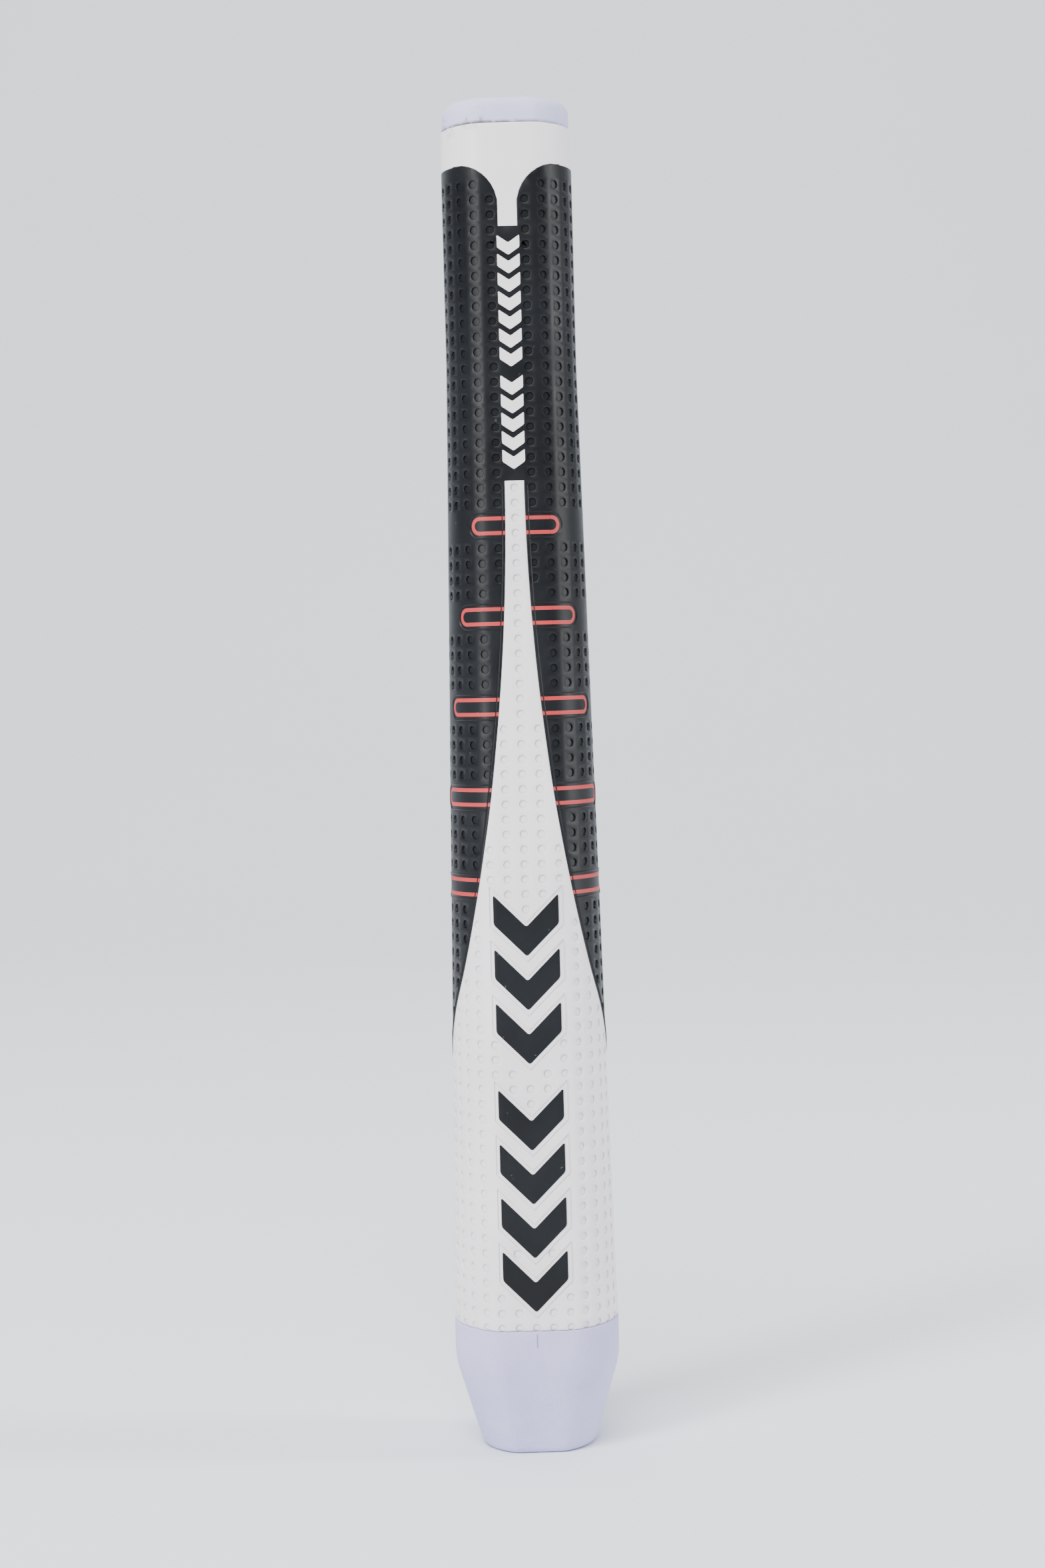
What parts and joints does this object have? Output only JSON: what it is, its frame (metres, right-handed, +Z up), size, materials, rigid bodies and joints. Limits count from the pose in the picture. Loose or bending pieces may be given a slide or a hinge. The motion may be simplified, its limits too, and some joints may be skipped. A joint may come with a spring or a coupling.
{
  "type": "golf grip",
  "caption": "Oversize putter grip with a reverse taper: foam core and collar, dimpled black and white rubber, red alignment bars and a foam butt cap.",
  "frame": {"origin": "centre of the mouth, on the axis of the shaft bore", "axes": "+Z runs up the bore from the mouth to the butt cap, and -Y is the way the flat front faces"},
  "size_m": [0.0328, 0.031, 0.2667],
  "materials": {
    "foam_core": "matte closed-cell foam",
    "butt_cap": "matte closed-cell foam",
    "white_rubber": "matte",
    "black_rubber": "satin",
    "red_rubber": "matte"
  },
  "bodies": {
    "root": {"foam_core": "foam_core", "butt_cap": "butt_cap", "top_band": "white_rubber", "black_panel": "black_rubber", "front_panel": "white_rubber", "upper_marks": "white_rubber", "front_marks": "black_rubber", "alignment_bar_1": "red_rubber", "alignment_bar_2": "red_rubber", "alignment_bar_3": "red_rubber", "alignment_bar_4": "red_rubber", "alignment_bar_5": "red_rubber"}
  },
  "joints": []
}
